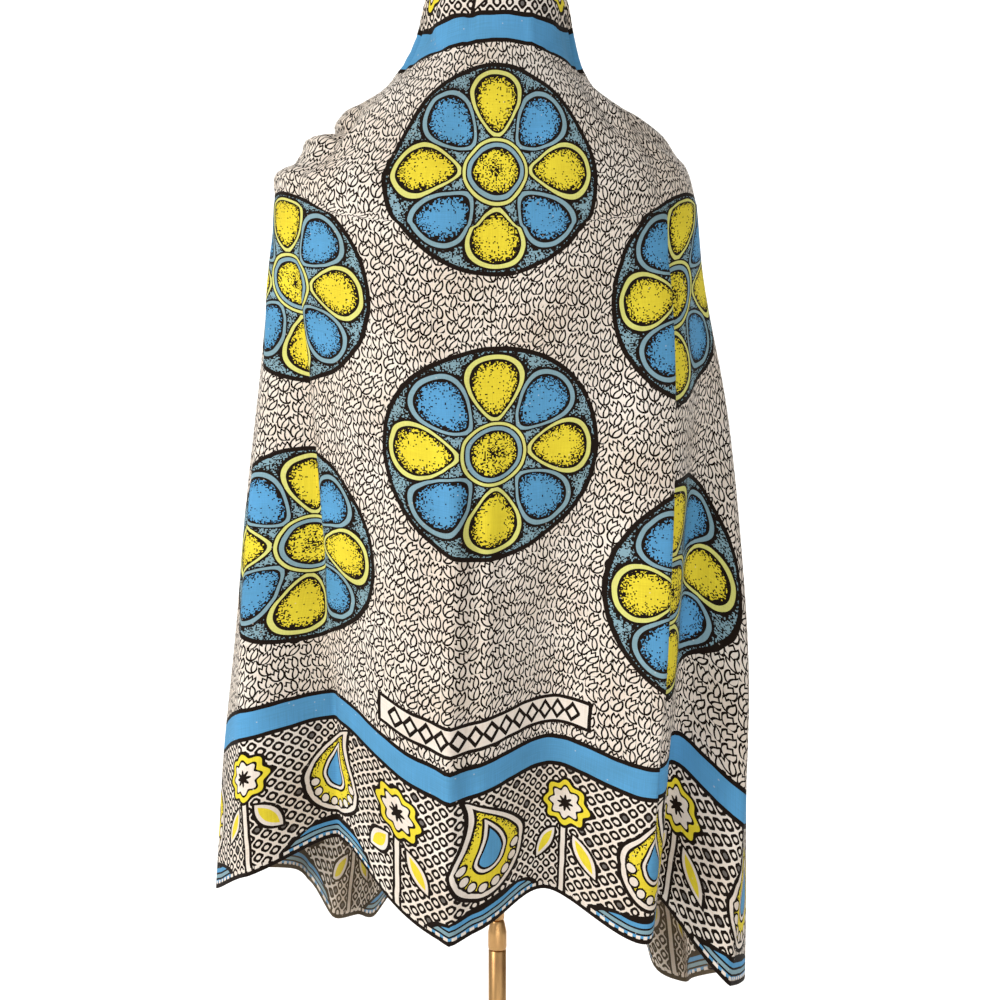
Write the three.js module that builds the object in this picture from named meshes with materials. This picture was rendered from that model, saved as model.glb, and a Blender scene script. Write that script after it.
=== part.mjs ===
// A printed cotton wrap cloth worn as a cape on a limbless dress form, on a pole and a round base.
// The cloth is one rectangle: its top border stands up round the neck as a rolled collar, its middle
// hangs down the back, and its two ends come over the shoulders and hang open at the front.
//
// Millimetres, +Z up. The back of the cape faces -Y and its open front +Y. The origin is on the
// floor under the pole.
import * as THREE from 'three';

// --- The cloth -------------------------------------------------------------------------------
const CLOTH_WIDTH = 1500;        // along the top edge, from front edge to front edge
const CLOTH_HEIGHT = 1100;       // from the top edge down to the hem
const BORDER = 176;              // printed border all round; the top one makes the collar
const WALL = 1.6;                // cotton with its hems and print, as one wall
const SEAM_GAP = 0.3;            // between neighbouring stretches of the one cloth
const EDGE = CLOTH_WIDTH / 2;

// Where a thread that runs down the cloth lies round the body. Angles run from the middle of the
// back, 0, past each side, 90, to the middle of the front, 180.
const NECK_PLAIN = 110;          // cloth each side of the middle that lies smooth on the neck
const NECK_PLAIN_ANGLE = 75;
const NECK_EDGE_ANGLE = 168;
const SIDE = 281;                // cloth from the middle of the back to the side, at the shoulders
const SHOULDER_EDGE_ANGLE = 170;
const YOKE_FROM = 130;           // between these two places down the cloth, a thread moves from its
const YOKE_TO = 300;             // angle on the neck to its angle at the shoulders
const NECK_WAVES = 5;            // gathers round the neck on each side
const NECK_WAVE_DEPTH = 2;
const SHOULDER_TUCK = { across: -205, down: 262, wide: 20, long: 46, deep: 7 };

// Plan rings of the cape. down: cloth from the top edge to the ring. left, right, back, front: how
// far the ring reaches each way. zLeft to zFront: the ring's height there. The first ring is the top
// edge, turned down inside the collar, and the third is the collar's top fold.
const RINGS = [
  { down: 0, left: 58, right: 58, back: 60, front: 55, zLeft: 1462, zRight: 1462, zBack: 1466, zFront: 1448 },
  { down: 70, left: 59, right: 59, back: 62, front: 56, zLeft: 1521, zRight: 1521, zBack: 1531, zFront: 1500 },
  { down: 78, left: 62, right: 62, back: 65, front: 59, zLeft: 1525, zRight: 1525, zBack: 1535, zFront: 1504 },
  { down: 86, left: 66, right: 65, back: 69, front: 62, zLeft: 1521, zRight: 1521, zBack: 1531, zFront: 1500 },
  { down: 146, left: 84, right: 80, back: 77, front: 68, zLeft: 1455, zRight: 1457, zBack: 1468, zFront: 1436 },
  { down: 176, left: 110, right: 97, back: 82, front: 74, zLeft: 1410, zRight: 1409, zBack: 1441, zFront: 1402 },
  { down: 236, left: 162, right: 149, back: 112, front: 98, zLeft: 1375, zRight: 1370, zBack: 1382, zFront: 1345 },
  { down: 300, left: 216, right: 198, back: 124, front: 118, zLeft: 1328, zRight: 1326, zBack: 1318, zFront: 1284 },
  { down: 326, left: 235, right: 205, back: 126, front: 122, zLeft: 1313, zRight: 1311, zBack: 1294, zFront: 1261 },
  { down: 372, left: 239, right: 213, back: 128, front: 128, zLeft: 1284, zRight: 1283, zBack: 1251, zFront: 1220 },
  { down: 560, left: 246, right: 231, back: 131, front: 128 },
  { down: 1100, left: 290, right: 258, back: 132, front: 122 },
];
const HANG_FROM = 372;           // below this ring the cloth hangs straight down to its hem

// The folds, from the left front edge round the back to the right one. across: the thread it runs
// down, from the middle of the back. angle: where it lies at the hem. out: how far it stands out of
// the hem ring, or in if it is below 0. hem: the height of the hem there. start: the cloth from the
// top edge down to where it begins.
const FOLDS = [
  { across: -750, angle: -156, out: 27, hem: 480, start: 176 },
  { across: -718, angle: -150, out: 6, hem: 452, start: 176 },
  { across: -676, angle: -147, out: 49, hem: 440, start: 190 },
  { across: -630, angle: -139, out: 17, hem: 452, start: 200 },
  { across: -587, angle: -135, out: 58, hem: 490, start: 190 },
  { across: -533, angle: -124, out: 20, hem: 520, start: 220 },
  { across: -480, angle: -110, out: 36, hem: 528, start: 330 },
  { across: -432, angle: -99, out: -4, hem: 540, start: 420 },
  { across: -384, angle: -83, out: 20, hem: 538, start: 450 },
  { across: -284, angle: -54, out: 44, hem: 582, start: 420 },
  { across: -192, angle: -40, out: -35, hem: 606, start: 330 },
  { across: -39, angle: -9, out: 35, hem: 533, start: 480 },
  { across: 72, angle: 11.5, out: -31, hem: 561, start: 560 },
  { across: 182, angle: 32, out: 53, hem: 525, start: 420 },
  { across: 263, angle: 43.5, out: -22, hem: 545, start: 420 },
  { across: 349, angle: 54, out: 52, hem: 468, start: 440 },
  { across: 447, angle: 80, out: 17, hem: 437, start: 420 },
  { across: 497, angle: 101, out: -12, hem: 425, start: 400 },
  { across: 553, angle: 112, out: 41, hem: 400, start: 330 },
  { across: 595, angle: 123, out: 26, hem: 385, start: 220 },
  { across: 644, angle: 131, out: 64, hem: 362, start: 190 },
  { across: 687, angle: 136, out: 21, hem: 392, start: 200 },
  { across: 722, angle: 142, out: 47, hem: 415, start: 180 },
  { across: 750, angle: 147, out: 27, hem: 440, start: 176 },
];
const FOLD_GROWTH = 0.75;        // below 1, a fold opens quickly under its start

// The stretches of the cloth, each a solid of its own, and the grid that their walls are made on.
const LEFT_SPLIT = -284;
const RIGHT_SPLIT = 263;
const COLUMNS_PER_FOLD = 4;
const COLLAR_ROWS = [0, 36, 70, 74, 78, 82, 86, 116, 146, 176];
const BODY_ROWS = [176, 205, 236, 268, 300, 328, 372, 440, 520, 610, 700, 780, 850, 924, 985, 1045, 1100];

// --- The dress form and its stand ---------------------------------------------------------------
const FORM_SIDES = 36;
// Level sections of the form, from its underside up. half: half its width. back, front: its depths.
const FORM_SECTIONS = [
  { z: 790, half: 150, back: 88, front: 84 },
  { z: 796, half: 157, back: 93, front: 89 },
  { z: 860, half: 168, back: 103, front: 94 },
  { z: 930, half: 160, back: 98, front: 92 },
  { z: 1010, half: 136, back: 82, front: 84 },
  { z: 1070, half: 127, back: 76, front: 82 },
  { z: 1130, half: 137, back: 82, front: 92 },
  { z: 1190, half: 156, back: 92, front: 106 },
  { z: 1240, half: 170, back: 100, front: 108 },
  { z: 1290, half: 180, back: 102, front: 98 },
  { z: 1330, half: 166, back: 98, front: 84 },
  { z: 1362, half: 136, back: 90, front: 72 },
  { z: 1386, half: 106, back: 80, front: 64 },
  { z: 1404, half: 80, back: 70, front: 58 },
  { z: 1424, half: 60, back: 60, front: 53 },
  { z: 1450, half: 51, back: 54, front: 49 },
  { z: 1532, half: 49, back: 51, front: 47 },
];
const CAP_RADIUS = 50;
const CAP_HEIGHT = 20;
const POLE_DIAMETER = 16;
const COLLAR_DIAMETER = 21;
const COLLAR_TOP = 490;
const COLLAR_LENGTH = 34;
const POST_DIAMETER = 20;
const PLATE_DIAMETER = 110;      // wooden disc under the form
const PLATE_HEIGHT = 14;
const BASE_DIAMETER = 400;
const BASE_EDGE = 8;
const BASE_HEIGHT = 22;
const HUB_DIAMETER = 52;
const HUB_HEIGHT = 46;
const GAP = 0.3;                 // between touching pieces

const printedCotton = new THREE.MeshStandardMaterial({ color: 0xd9d3c6, roughness: 0.9, metalness: 0 });
const borderCotton = new THREE.MeshStandardMaterial({ color: 0x4a8fc8, roughness: 0.9, metalness: 0 });
const linen = new THREE.MeshStandardMaterial({ color: 0xe6dfd2, roughness: 0.95, metalness: 0 });
const wood = new THREE.MeshStandardMaterial({ color: 0xa8794a, roughness: 0.5, metalness: 0 });
const brass = new THREE.MeshStandardMaterial({ color: 0xb08a4e, roughness: 0.35, metalness: 1 });

// --- Curves through the tables --------------------------------------------------------------------

// The value of one column at a place along a table: a smooth curve through its rows that never
// overshoots them, so a ridge or a trough of the table is a ridge or a trough of the cloth.
function along(rows, key, place, column) {
  const last = rows.length - 1;
  const at = Math.min(Math.max(place, rows[0][key]), rows[last][key]);
  let i = 0;
  while (i < last - 1 && at > rows[i + 1][key]) i += 1;
  const step = rows[i + 1][key] - rows[i][key];
  const t = (at - rows[i][key]) / step;
  const from = rows[i][column];
  const to = rows[i + 1][column];
  const startSlope = slopeAt(rows, key, i, column) * step;
  const endSlope = slopeAt(rows, key, i + 1, column) * step;
  const t2 = t * t;
  const t3 = t2 * t;
  return (2 * t3 - 3 * t2 + 1) * from + (t3 - 2 * t2 + t) * startSlope
    + (3 * t2 - 2 * t3) * to + (t3 - t2) * endSlope;
}

function slopeAt(rows, key, i, column) {
  const chord = (a, b) => (rows[b][column] - rows[a][column]) / (rows[b][key] - rows[a][key]);
  if (i === 0) return chord(0, 1);
  if (i === rows.length - 1) return chord(i - 1, i);
  const before = chord(i - 1, i);
  const after = chord(i, i + 1);
  return before * after > 0 ? 2 * before * after / (before + after) : 0;
}

const bell = (distance, width) => Math.exp(-((distance / width) ** 2));

// --- The surface of the cloth -----------------------------------------------------------------------

// A ring's point at an angle, its height there and the way out of the ring.
function ringPoint(ring, degrees) {
  const angle = THREE.MathUtils.degToRad(degrees);
  const s = Math.sin(angle);
  const c = Math.cos(angle);
  const wide = s < 0 ? ring.left : ring.right;
  const deep = c > 0 ? ring.back : ring.front;
  const side = s < 0 ? ring.zLeft : ring.zRight;
  const middle = c > 0 ? ring.zBack : ring.zFront;
  return {
    x: wide * s,
    y: -deep * c,
    z: side * s * s + middle * c * c,
    out: new THREE.Vector2(s / wide, -c / deep).normalize(),
  };
}

function ringAt(down) {
  const columns = ['left', 'right', 'back', 'front'];
  const heights = ['zLeft', 'zRight', 'zBack', 'zFront'];
  const shaped = RINGS.filter((row) => row.down <= HANG_FROM);
  const ring = {};
  for (const column of columns) ring[column] = along(RINGS, 'down', down, column);
  for (const column of heights) ring[column] = along(shaped, 'down', down, column);
  return ring;
}

// The angle of a thread on the collar, and at the shoulders.
function neckAngle(across) {
  const away = Math.abs(across);
  const gathered = (away - NECK_PLAIN) / (EDGE - NECK_PLAIN);
  const angle = away < NECK_PLAIN
    ? NECK_PLAIN_ANGLE * away / NECK_PLAIN
    : NECK_PLAIN_ANGLE + (NECK_EDGE_ANGLE - NECK_PLAIN_ANGLE) * gathered;
  return Math.sign(across) * angle;
}

function shoulderAngle(across) {
  const away = Math.abs(across);
  const part = away / SIDE;
  const angle = away < SIDE
    ? 90 * part * (0.82 + 0.18 * part * part)
    : 90 + (SHOULDER_EDGE_ANGLE - 90) * (away - SIDE) / (EDGE - SIDE);
  return Math.sign(across) * angle;
}

// The cloth's middle surface. across: from the middle of the back, below 0 to the left.
function clothPoint(across, down) {
  const past = THREE.MathUtils.clamp((down - YOKE_FROM) / (YOKE_TO - YOKE_FROM), 0, 1);
  const yoke = 1 - (1 - past) ** 2;
  const hang = THREE.MathUtils.clamp((down - HANG_FROM) / (CLOTH_HEIGHT - HANG_FROM), 0, 1);
  const upper = THREE.MathUtils.lerp(neckAngle(across), shoulderAngle(across), yoke);
  const angle = THREE.MathUtils.lerp(upper, along(FOLDS, 'across', across, 'angle'), hang);
  const point = ringPoint(ringAt(down), angle);

  const start = along(FOLDS, 'across', across, 'start');
  const opened = THREE.MathUtils.clamp((down - start) / (CLOTH_HEIGHT - start), 0, 1);
  const fold = along(FOLDS, 'across', across, 'out') * opened ** FOLD_GROWTH;
  const gathered = THREE.MathUtils.smoothstep(Math.abs(across), NECK_PLAIN, 2 * NECK_PLAIN);
  const waves = Math.sin(2 * Math.PI * NECK_WAVES * (Math.abs(across) - NECK_PLAIN) / (EDGE - NECK_PLAIN));
  const wave = NECK_WAVE_DEPTH * gathered * waves * (1 - yoke);
  const tuck = SHOULDER_TUCK.deep * bell(across - SHOULDER_TUCK.across, SHOULDER_TUCK.wide)
    * bell(down - SHOULDER_TUCK.down, SHOULDER_TUCK.long);

  const out = fold + wave - tuck;
  const hem = along(FOLDS, 'across', across, 'hem');
  return new THREE.Vector3(
    point.x + point.out.x * out,
    point.y + point.out.y * out,
    THREE.MathUtils.lerp(point.z, hem, hang) - tuck,
  );
}

// The two directions along the cloth at a point, by small steps each way.
function clothDirections(across, down) {
  const step = 0.5;
  const left = clothPoint(Math.max(across - step, -EDGE), down);
  const right = clothPoint(Math.min(across + step, EDGE), down);
  const above = clothPoint(across, Math.max(down - step, 0));
  const below = clothPoint(across, Math.min(down + step, CLOTH_HEIGHT));
  return { sideways: right.sub(left), downwards: below.sub(above) };
}

// --- Solids -------------------------------------------------------------------------------------------

function meshOf(name, points, faces, material) {
  const geometry = new THREE.BufferGeometry();
  geometry.setAttribute('position', new THREE.Float32BufferAttribute(points.flatMap((p) => p.toArray()), 3));
  geometry.setIndex(faces);
  geometry.computeVertexNormals();
  const mesh = new THREE.Mesh(geometry, material);
  mesh.name = name;
  return mesh;
}

// A wall of cloth over a grid of threads: its outer and inner faces and the four edges between them.
// Its cut sides are drawn back by half of the seam gap.
function clothWall(name, columns, rows, material) {
  const across = columns.length;
  const down = rows.length;
  const outer = [];
  const inner = [];
  for (let row = 0; row < down; row += 1) {
    for (let column = 0; column < across; column += 1) {
      const place = clothPoint(columns[column], rows[row]);
      const { sideways, downwards } = clothDirections(columns[column], rows[row]);
      const face = new THREE.Vector3().crossVectors(downwards, sideways).normalize();
      const inward = (index, count) => (index === 0 ? 1 : index === count - 1 ? -1 : 0) * SEAM_GAP / 2;
      const offColumn = new THREE.Vector3().crossVectors(face, downwards).normalize();
      const offRow = new THREE.Vector3().crossVectors(sideways, face).normalize();
      place.addScaledVector(offColumn, inward(column, across));
      place.addScaledVector(offRow, inward(row, down));
      outer.push(place.clone().addScaledVector(face, WALL / 2));
      inner.push(place.clone().addScaledVector(face, -WALL / 2));
    }
  }
  const size = across * down;
  const faces = [];
  const quad = (a, b, c, d) => faces.push(a, b, c, a, c, d);
  const at = (row, column) => row * across + column;
  for (let row = 0; row < down - 1; row += 1) {
    for (let column = 0; column < across - 1; column += 1) {
      const corners = [at(row, column), at(row + 1, column), at(row + 1, column + 1), at(row, column + 1)];
      quad(...corners);
      quad(...corners.reverse().map((index) => index + size));
    }
  }
  const rim = [];
  for (let column = 0; column < across - 1; column += 1) rim.push(at(0, column));
  for (let row = 0; row < down - 1; row += 1) rim.push(at(row, across - 1));
  for (let column = across - 1; column > 0; column -= 1) rim.push(at(down - 1, column));
  for (let row = down - 1; row > 0; row -= 1) rim.push(at(row, 0));
  rim.forEach((index, i) => {
    const next = rim[(i + 1) % rim.length];
    quad(index, next, next + size, index + size);
  });
  return meshOf(name, [...outer, ...inner], faces, material);
}

// Threads of the grid between two places across: the folds, and steps between them.
function threads(from, to) {
  const places = [];
  for (let i = 0; i < FOLDS.length - 1; i += 1) {
    for (let step = 0; step < COLUMNS_PER_FOLD; step += 1) {
      places.push(THREE.MathUtils.lerp(FOLDS[i].across, FOLDS[i + 1].across, step / COLUMNS_PER_FOLD));
    }
  }
  places.push(EDGE);
  return places.filter((place) => place >= from && place <= to);
}

// The form: a closed skin over its level sections.
function dressForm() {
  const points = [];
  const faces = [];
  for (const section of FORM_SECTIONS) {
    for (let side = 0; side < FORM_SIDES; side += 1) {
      const angle = 2 * Math.PI * side / FORM_SIDES;
      const deep = Math.sin(angle) < 0 ? section.back : section.front;
      points.push(new THREE.Vector3(section.half * Math.cos(angle), deep * Math.sin(angle), section.z));
    }
  }
  const bottom = points.push(new THREE.Vector3(0, 0, FORM_SECTIONS[0].z)) - 1;
  const top = points.push(new THREE.Vector3(0, 0, FORM_SECTIONS.at(-1).z)) - 1;
  const lastRing = (FORM_SECTIONS.length - 1) * FORM_SIDES;
  for (let side = 0; side < FORM_SIDES; side += 1) {
    const next = (side + 1) % FORM_SIDES;
    faces.push(bottom, next, side, top, lastRing + side, lastRing + next);
    for (let ring = 0; ring < lastRing; ring += FORM_SIDES) {
      faces.push(ring + side, ring + next, ring + FORM_SIDES + next);
      faces.push(ring + side, ring + FORM_SIDES + next, ring + FORM_SIDES + side);
    }
  }
  return meshOf('form_torso', points, faces, linen);
}

// A turned piece from a profile of [radius, height] pairs, standing on a height.
function turned(name, profile, z, material, sides = 32) {
  const outline = profile.map(([radius, height]) => new THREE.Vector2(radius, height));
  const geometry = new THREE.LatheGeometry(outline, sides);
  geometry.rotateX(Math.PI / 2);
  const mesh = new THREE.Mesh(geometry, material);
  mesh.name = name;
  mesh.position.z = z;
  return mesh;
}

const rod = (name, diameter, from, to, material) => turned(name, [
  [0, 0], [diameter / 2, 0], [diameter / 2, to - from], [0, to - from],
], from, material, 20);

function stand() {
  const group = new THREE.Group();
  const formBottom = FORM_SECTIONS[0].z;
  const plateBottom = formBottom - GAP - PLATE_HEIGHT;
  const collarBottom = COLLAR_TOP - COLLAR_LENGTH;
  const hubTop = BASE_HEIGHT + GAP + HUB_HEIGHT;
  const plate = PLATE_DIAMETER / 2;
  const collar = COLLAR_DIAMETER / 2;
  const base = BASE_DIAMETER / 2;
  const hub = HUB_DIAMETER / 2;
  const post = POST_DIAMETER / 2;
  group.add(
    turned('form_plate', [
      [0, 0], [plate - 6, 0], [plate, 5], [plate, PLATE_HEIGHT], [0, PLATE_HEIGHT],
    ], plateBottom, wood),
    rod('stand_pole', POLE_DIAMETER, COLLAR_TOP + GAP, plateBottom - GAP, brass),
    turned('stand_collar', [
      [0, 0], [collar - 0.5, 0], [collar, 2], [collar, COLLAR_LENGTH - 14],
      [collar - 2.5, COLLAR_LENGTH - 2], [collar - 3.5, COLLAR_LENGTH], [0, COLLAR_LENGTH],
    ], collarBottom, brass, 20),
    rod('stand_post', POST_DIAMETER, hubTop + GAP, collarBottom - GAP, brass),
    turned('stand_hub', [
      [0, 0], [hub, 0], [hub, 6], [hub - 6, 12], [post + 7, 24], [post + 4, HUB_HEIGHT - 3],
      [post + 2, HUB_HEIGHT], [0, HUB_HEIGHT],
    ], BASE_HEIGHT + GAP, brass),
    turned('stand_base', [
      [0, 0], [base - 3, 0], [base, 3], [base, BASE_EDGE], [base - 6, BASE_EDGE + 4],
      [base * 0.6, BASE_HEIGHT - 4], [hub + 8, BASE_HEIGHT], [0, BASE_HEIGHT],
    ], 0, brass, 48),
  );
  return group;
}

function neckCap() {
  return turned('form_neck_cap', [
    [0, 0], [CAP_RADIUS - 3, 0], [CAP_RADIUS, 3], [CAP_RADIUS - 1, 9],
    [CAP_RADIUS * 0.8, CAP_HEIGHT - 5], [CAP_RADIUS * 0.45, CAP_HEIGHT - 1], [0, CAP_HEIGHT],
  ], FORM_SECTIONS.at(-1).z + GAP, wood);
}

const group = new THREE.Group();
group.add(
  clothWall('cloth_collar', threads(-EDGE, EDGE), COLLAR_ROWS, borderCotton),
  clothWall('cloth_back', threads(LEFT_SPLIT, RIGHT_SPLIT), BODY_ROWS, printedCotton),
  clothWall('cloth_left_front', threads(-EDGE, LEFT_SPLIT), BODY_ROWS, printedCotton),
  clothWall('cloth_right_front', threads(RIGHT_SPLIT, EDGE), BODY_ROWS, printedCotton),
  dressForm(),
  neckCap(),
  stand(),
);

export default group;
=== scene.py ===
"""A printed cotton wrap cloth worn as a cape on a limbless dress form, dressed for rendering.

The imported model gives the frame. This script makes the cloth as one fine sheet over the solids'
own shape, with its creases, hems and stitches, prints it with shader nodes, and finishes the dress
form and its stand. Sizes are millimetres in the tables, as in the solids' source, and metres in Blender.
"""
import math
from collections import namedtuple

import bpy
import numpy as np
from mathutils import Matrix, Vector


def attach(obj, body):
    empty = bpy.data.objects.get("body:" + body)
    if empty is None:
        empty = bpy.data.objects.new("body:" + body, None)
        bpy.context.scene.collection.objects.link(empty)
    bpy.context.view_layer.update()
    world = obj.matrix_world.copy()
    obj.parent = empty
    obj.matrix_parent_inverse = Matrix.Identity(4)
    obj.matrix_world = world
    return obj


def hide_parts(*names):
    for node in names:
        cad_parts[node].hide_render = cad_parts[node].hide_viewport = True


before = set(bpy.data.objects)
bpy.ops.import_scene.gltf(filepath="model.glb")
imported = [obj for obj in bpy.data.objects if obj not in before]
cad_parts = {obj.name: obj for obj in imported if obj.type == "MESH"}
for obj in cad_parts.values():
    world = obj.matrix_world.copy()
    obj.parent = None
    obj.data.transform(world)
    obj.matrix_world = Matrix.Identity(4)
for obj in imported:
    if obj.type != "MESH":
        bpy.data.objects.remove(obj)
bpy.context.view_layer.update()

MM = 0.001

# --- The cloth's sizes, as in the solids ----------------------------------------------------------

CLOTH_WIDTH = 1500
CLOTH_HEIGHT = 1100
BORDER = 176
EDGE = CLOTH_WIDTH / 2
HANG_FROM = 372
FOLD_GROWTH = 0.75
NECK_PLAIN, NECK_PLAIN_ANGLE, NECK_EDGE_ANGLE = 110, 75, 168
SIDE, SHOULDER_EDGE_ANGLE, SHOULDER_STRAIGHT = 281, 170, 0.82
YOKE_FROM, YOKE_TO = 130, 300
NECK_WAVES, NECK_WAVE_DEPTH = 5, 2
TUCK_ACROSS, TUCK_DOWN, TUCK_WIDE, TUCK_LONG, TUCK_DEEP = -205, 262, 20, 46, 7

# Plan rings of the cape: cloth from the top edge, how far the ring reaches each way, its heights.
RING_COLUMNS = "down left right back front z_left z_right z_back z_front"
RINGS = [
    (0, 58, 58, 60, 55, 1462, 1462, 1466, 1448),
    (70, 59, 59, 62, 56, 1521, 1521, 1531, 1500),
    (78, 62, 62, 65, 59, 1525, 1525, 1535, 1504),
    (86, 66, 65, 69, 62, 1521, 1521, 1531, 1500),
    (146, 84, 80, 77, 68, 1455, 1457, 1468, 1436),
    (176, 110, 97, 82, 74, 1410, 1409, 1441, 1402),
    (236, 162, 149, 112, 98, 1375, 1370, 1382, 1345),
    (300, 216, 198, 124, 118, 1328, 1326, 1318, 1284),
    (326, 235, 205, 126, 122, 1313, 1311, 1294, 1261),
    (372, 239, 213, 128, 128, 1284, 1283, 1251, 1220),
    (560, 246, 231, 131, 128, 1284, 1283, 1251, 1220),
    (1100, 290, 258, 132, 122, 1284, 1283, 1251, 1220),
]

# The folds: the thread each runs down, its angle and reach out of the ring at the hem, the hem's
# height there and how far down it starts.
FOLD_COLUMNS = "across angle out hem start"
FOLDS = [
    (-750, -156, 27, 480, 176),
    (-718, -150, 6, 452, 176),
    (-676, -147, 49, 440, 190),
    (-630, -139, 17, 452, 200),
    (-587, -135, 58, 490, 190),
    (-533, -124, 20, 520, 220),
    (-480, -110, 36, 528, 330),
    (-432, -99, -4, 540, 420),
    (-384, -83, 20, 538, 450),
    (-284, -54, 44, 582, 420),
    (-192, -40, -35, 606, 330),
    (-39, -9, 35, 533, 480),
    (72, 11.5, -31, 561, 560),
    (182, 32, 53, 525, 420),
    (263, 43.5, -22, 545, 420),
    (349, 54, 52, 468, 440),
    (447, 80, 17, 437, 420),
    (497, 101, -12, 425, 400),
    (553, 112, 41, 400, 330),
    (595, 123, 26, 385, 220),
    (644, 131, 64, 362, 190),
    (687, 136, 21, 392, 200),
    (722, 142, 47, 415, 180),
    (750, 147, 27, 440, 176),
]

# Creases that only the fine sheet has. Each runs from one place on the cloth to another, so wide,
# and stands so far in (or out, below 0). They wander a little sideways, and those that run down to the
# hem don't fade out before it. On the shoulders a crease also rises, so far for each one out.
CREASE_COLUMNS = "across down to_across to_down wide deep"
CREASES = [
    (-206, 250, -212, 440, 10, 3.5),
    (-150, 420, -156, 820, 20, -3.0),
    (-188, 860, -192, 1085, 9, 5.5),
    (-118, 480, -128, 900, 15, 2.6),
    (-38, 540, -40, 1100, 8, -5.5),
    (-20, 560, -20, 1080, 8, 4.5),
    (-4, 600, -6, 900, 8, -2.5),
    (14, 540, 16, 840, 10, 3.0),
    (-62, 520, -60, 1000, 11, 4.0),
    (190, 230, 188, 380, 10, 3.5),
    (140, 400, 146, 860, 18, -3.2),
    (196, 900, 204, 1090, 9, 4.5),
    (330, 480, 340, 1060, 12, -3.5),
    (-420, 270, -176, 254, 6, 9.5),
    (-410, 288, -166, 270, 8, -6.2),
    (-360, 316, -176, 294, 8, 2.6),
    (-330, 340, -190, 320, 11, -2.8),
    (-390, 244, -150, 226, 8, -2.0),
    (-112, 138, -56, 180, 7, 3.4),
    (-74, 128, -30, 160, 7, -2.0),
    (-30, 118, -34, 196, 5, 2.0),
    (98, 140, 60, 178, 6, 2.6),
    (42, 120, 46, 192, 5, -1.8),
    (290, 300, 210, 262, 9, 3.5),
    (300, 276, 196, 236, 10, -3.5),
    (-118, 186, -196, 300, 8, -2.6),
    (-96, 92, -150, 196, 6, 2.6),
    (-120, 100, -176, 200, 6, -2.6),
    (-70, 110, -120, 200, 8, 1.6),
    (104, 90, 146, 196, 6, 2.6),
    (126, 100, 172, 200, 6, -2.6),
    (78, 108, 122, 200, 8, 1.8),
    (-90, 184, -130, 290, 9, 2.0),
    (96, 184, 168, 280, 9, 2.2),
    (120, 190, 214, 300, 8, -2.4),
    (150, 200, 250, 300, 9, 2.6),
    (40, 186, 52, 330, 14, 1.6),
    (-36, 186, -44, 350, 15, 1.5),
    (6, 400, 16, 700, 22, 1.6),
    (110, 520, 118, 900, 16, 2.0),
    (-120, 600, -112, 980, 16, -2.2),
    (-300, 420, -316, 900, 12, 3.4),
    (-352, 500, -366, 1050, 12, -3.4),
    (-455, 330, -470, 980, 10, 3.0),
    (-560, 230, -566, 900, 9, -3.0),
    (-610, 260, -606, 1000, 8, 3.2),
    (-655, 220, -654, 840, 8, -2.6),
    (-700, 300, -694, 1060, 8, 2.6),
    (400, 400, 420, 1000, 12, 3.0),
    (470, 350, 484, 980, 10, -3.0),
    (524, 260, 530, 1000, 9, 3.2),
    (575, 220, 574, 860, 8, -2.8),
    (618, 240, 622, 1010, 8, 3.0),
    (668, 210, 664, 900, 8, -2.6),
    (706, 260, 704, 1050, 8, 2.8),
]
CREASE_WANDER, WANDER_LENGTH = 0.35, 61
CREASE_TO_HEM = 1050
SHOULDER_RISE, SHOULDER_FROM, SHOULDER_TO = 0.65, 300, 380

# Sharp folds, where the cloth turns over on a line: the thread each runs down, how far it stands out
# and drops at the hem, how wide it is and where it starts.
SHARP_COLUMNS = "across out drop wide start"
SHARP_FOLDS = [
    (-39, 12, 5, 18, 560),
    (349, 8, 3, 16, 500),
    (-284, 6, 1, 18, 520),
    (-587, 10, 6, 13, 330),
    (644, 10, 6, 13, 330),
]
SHARP_ROUND = 1.5

# Pleats down the back: the line that each runs down, how much cloth it takes in, how far the layer
# before it stands out, the side beyond it (-1 is left), how the cloth runs there (1 is back under itself,
# 0 straight in), and how round it turns. Past a pleat the taken cloth is made up over the spread, and
# its layers sink back to the cloth's surface over the fade.
PLEAT_COLUMNS = "across down to_across to_down taken rise side back turn"
PLEATS = [
    (-214, 380, -194, 760, 24, 6, -1, 0, 7),
    (192, 330, 184, 900, 19, 5, 1, 1, 3),
]
PLEAT_SPREAD, PLEAT_FADE, PLEAT_END = 130, 40, 150

# The sheet's real thickness, and the hems at its two cut ends: what they add, and their stitches.
THICK, THREAD_PITCH = 0.7, 0.62
HEM_WIDE, HEM_THICK = 9, 0.9
EDGE_ROUND, EDGE_THIN = 1.2, 0.45        # its edges round off to this part of the thickness
STITCH_PITCH, STITCH_LONG, STITCH_WIDE, STITCH_HIGH = 3.6, 2.5, 0.55, 0.35
STITCH_IN = 1.8                          # from the hem's inner fold

# The sheet's grid: even steps between places, finest at the pleats and on the shoulders.
BACK_PLACES = (-400, -244, -164, 130, 236, 400)
BACK_STEPS = (26, 28, 54, 42, 27)
END_PLACES = (BACK_PLACES[-1], EDGE - BORDER, EDGE - HEM_WIDE)
END_STEPS = (26, 25)
DOWN_PLACES = (0, 66, 92, BORDER, 326, CLOTH_HEIGHT - BORDER, CLOTH_HEIGHT - 4)
DOWN_STEPS = (8, 11, 14, 34, 76, 24)


def columns_of(names, rows):
    """A table as one array for each named column."""
    return dict(zip(names.split(), np.array(rows, float).T))


def rows_of(names, rows):
    """A table's rows, each with its columns by name."""
    row_type = namedtuple("Row", names)
    return [row_type(*row) for row in rows]


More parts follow.
